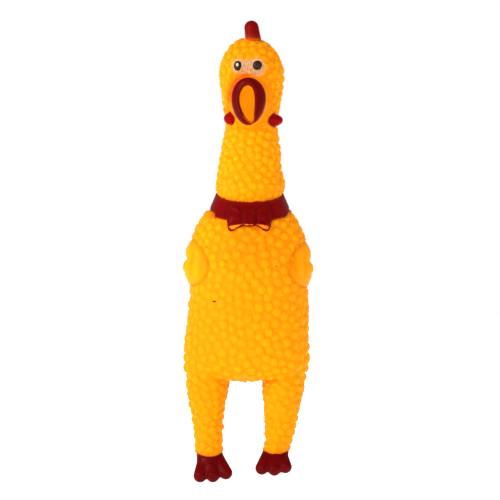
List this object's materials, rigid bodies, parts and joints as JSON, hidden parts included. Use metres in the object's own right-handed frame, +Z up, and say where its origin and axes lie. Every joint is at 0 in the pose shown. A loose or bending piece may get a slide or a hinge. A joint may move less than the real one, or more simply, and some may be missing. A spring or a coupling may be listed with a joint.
{
  "type": "squeezable rubber chicken toy",
  "caption": "Hollow soft vinyl chicken with an open beak, comb, bow tie and dangling legs that screams through a reed unit in its throat when squeezed.",
  "frame": {"origin": "middle of the torso, where a hand closes round it", "axes": "+Z up through the head, -Y out of the face and belly, +X to the bird's own left"},
  "size_m": [0.0888, 0.0715, 0.3116],
  "materials": {
    "yellow_vinyl": "satin, moulded with small round bumps",
    "red_vinyl": "satin to glossy paint",
    "pale_paint": "matt paint",
    "black_paint": "glossy paint",
    "white_plastic": "moulded",
    "clear_plastic": "thin clear sheet and tube",
    "foam": "soft ring"
  },
  "bodies": {
    "torso": {"torso_skin": "yellow_vinyl", "collar_band": "red_vinyl", "bow_tie": "red_vinyl", "wing_left": "yellow_vinyl", "wing_right": "yellow_vinyl", "tail": "yellow_vinyl"},
    "belly": {"belly_skin": "yellow_vinyl"},
    "neck": {"neck_flex": "yellow_vinyl", "neck_skin": "yellow_vinyl", "throat_seal": "foam", "squeaker_barrel": "white_plastic", "squeaker_cap": "white_plastic", "squeaker_partition": "white_plastic", "reed_tube_out": "clear_plastic", "reed_clamp_out": "white_plastic", "reed_tube_in": "clear_plastic", "reed_clamp_in": "white_plastic"},
    "reed_out": {"reed_tongue_out": "clear_plastic"},
    "reed_in": {"reed_tongue_in": "clear_plastic"},
    "head": {"head_flex": "yellow_vinyl", "head_skin": "yellow_vinyl", "comb": "red_vinyl", "beak": "red_vinyl", "face_patch": "pale_paint", "eye_left": "black_paint", "eye_right": "black_paint", "wattle_left": "red_vinyl", "wattle_right": "red_vinyl"},
    "leg_left": {"hip_flex_left": "yellow_vinyl", "leg_left_skin": "yellow_vinyl"},
    "foot_left": {"ankle_flex_left": "yellow_vinyl", "foot_left": "red_vinyl"},
    "leg_right": {"hip_flex_right": "yellow_vinyl", "leg_right_skin": "yellow_vinyl"},
    "foot_right": {"ankle_flex_right": "yellow_vinyl", "foot_right": "red_vinyl"}
  },
  "joints": [
    {"name": "neck_bend", "type": "hinge", "parent": "torso", "child": "neck", "pos_m": [0, 0, 0.082], "axis": [1, 0, 0], "range_deg": [-30, 45], "stiffness_Nm_per_rad": 0.6, "deforming": ["neck_flex"]},
    {"name": "head_tilt", "type": "hinge", "parent": "neck", "child": "head", "pos_m": [0, 0, 0.1105], "axis": [0, 1, 0], "range_deg": [-25, 25], "stiffness_Nm_per_rad": 0.4, "deforming": ["head_flex"]},
    {"name": "belly_squeeze", "type": "slide", "parent": "torso", "child": "belly", "axis": [0, 1, 0], "range_m": [0, 0.012], "stiffness_N_per_m": 700},
    {"name": "hip_left_swing", "type": "hinge", "parent": "torso", "child": "leg_left", "pos_m": [0.0225, 0, -0.0622], "axis": [1, 0, 0], "range_deg": [-45, 45], "stiffness_Nm_per_rad": 0.12, "deforming": ["hip_flex_left"]},
    {"name": "ankle_left_flex", "type": "hinge", "parent": "leg_left", "child": "foot_left", "pos_m": [0.0186, 0, -0.0975], "axis": [1, 0, 0], "range_deg": [-35, 35], "stiffness_Nm_per_rad": 0.05, "deforming": ["ankle_flex_left"]},
    {"name": "hip_right_swing", "type": "hinge", "parent": "torso", "child": "leg_right", "pos_m": [-0.0272, 0, -0.0622], "axis": [1, 0, 0], "range_deg": [-45, 45], "stiffness_Nm_per_rad": 0.12, "deforming": ["hip_flex_right"]},
    {"name": "ankle_right_flex", "type": "hinge", "parent": "leg_right", "child": "foot_right", "pos_m": [-0.0263, 0, -0.0975], "axis": [1, 0, 0], "range_deg": [-35, 35], "stiffness_Nm_per_rad": 0.05, "deforming": ["ankle_flex_right"]},
    {"name": "reed_out_flutter", "type": "hinge", "parent": "neck", "child": "reed_out", "pos_m": [0.0016, 0.0054, 0.1054], "axis": [0, 1, 0], "range_deg": [-4, 4], "stiffness_Nm_per_rad": 0.0004},
    {"name": "reed_in_flutter", "type": "hinge", "parent": "neck", "child": "reed_in", "pos_m": [0.0016, -0.0054, 0.0826], "axis": [0, 1, 0], "range_deg": [-4, 4], "stiffness_Nm_per_rad": 0.0004}
  ]
}
